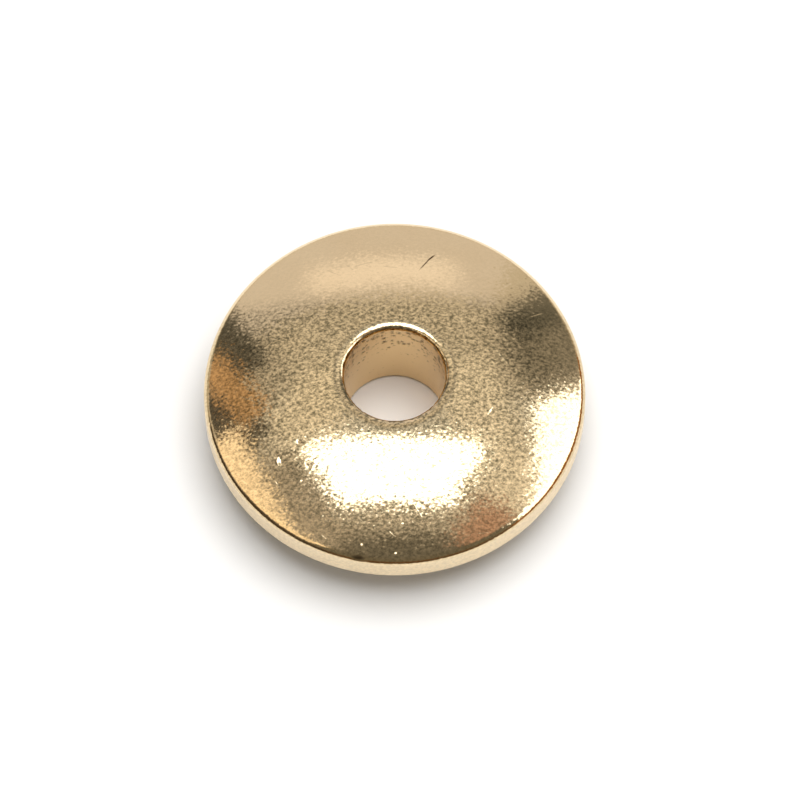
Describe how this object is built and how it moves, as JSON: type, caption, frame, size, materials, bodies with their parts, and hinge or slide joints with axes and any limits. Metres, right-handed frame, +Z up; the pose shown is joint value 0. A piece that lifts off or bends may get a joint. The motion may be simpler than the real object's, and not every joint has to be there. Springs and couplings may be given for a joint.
{
  "type": "ball marker",
  "caption": "Thick round golf ball marker in gold-plated brass, with shallow domed faces, a narrow flat rim band and a plain through bore with rounded lips.",
  "frame": {"origin": "on the axis of the bore, in the plane that the lower lip of the bore rests on", "axes": "+Z up along the bore axis, which is the disc's axis of revolution; X and Y lie in the resting plane and are alike"},
  "size_m": [0.025, 0.025, 0.0072],
  "materials": {
    "gold_plated_brass": "pale gold plating over brass, barrel tumbled to a fine-grained shine with a few nicks and scratches"
  },
  "bodies": {
    "root": {"marker_disc": "gold_plated_brass"}
  },
  "joints": []
}
